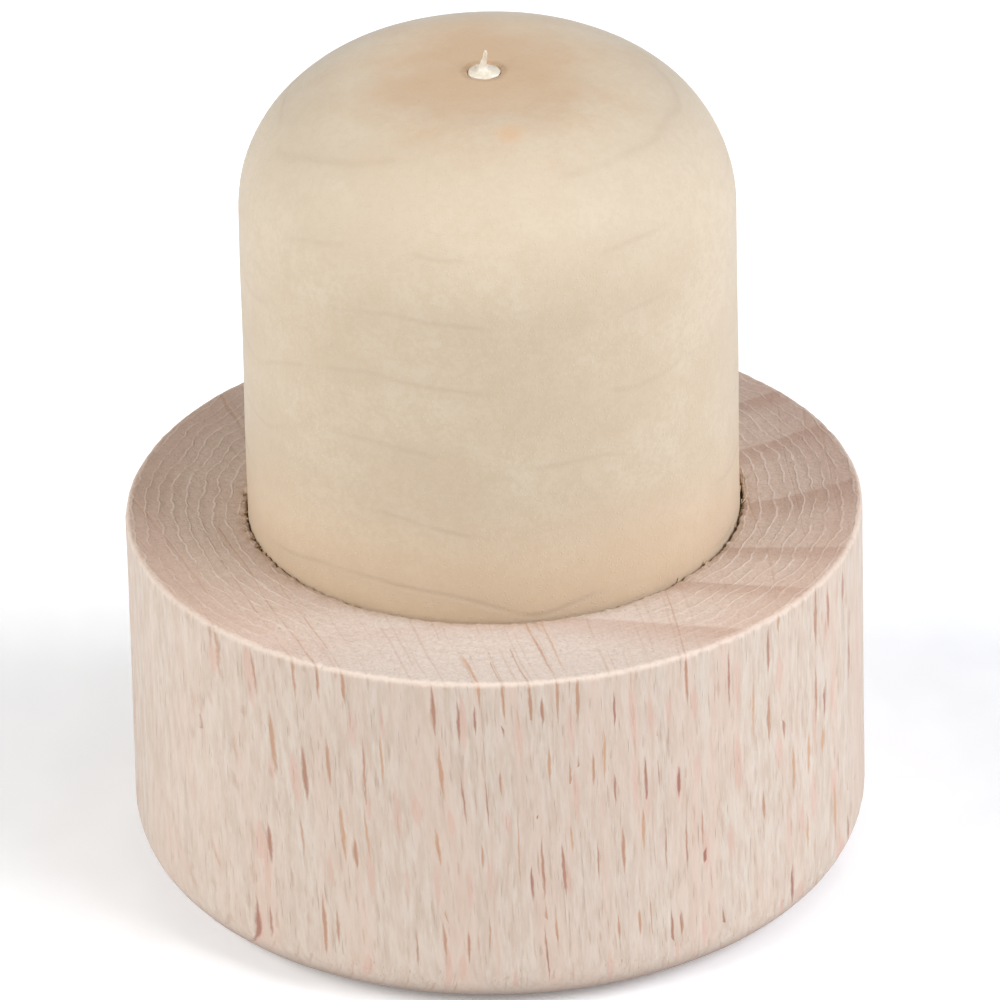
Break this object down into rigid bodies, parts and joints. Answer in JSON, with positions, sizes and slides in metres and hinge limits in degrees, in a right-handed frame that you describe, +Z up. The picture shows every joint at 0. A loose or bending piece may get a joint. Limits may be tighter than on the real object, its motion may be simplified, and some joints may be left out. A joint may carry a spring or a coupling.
{
  "type": "bar-top bottle stopper",
  "caption": "Bottle stopper standing on its turned wooden head, with a round-tipped moulded synthetic cork stem glued into a blind socket in the head.",
  "frame": {"origin": "middle of the head's flat resting face, which is the bottom of the stopper as it stands on its head", "axes": "+Z up along the stem, from the head towards the tip; the stopper is round about Z, and the wood's rays run nearly along Y"},
  "size_m": [0.0292, 0.0292, 0.0351],
  "materials": {
    "beech": "matte",
    "synthetic_cork": "matte",
    "hot_melt": "satin"
  },
  "bodies": {
    "root": {"head": "beech", "stem": "synthetic_cork", "glue": "hot_melt"}
  },
  "joints": []
}
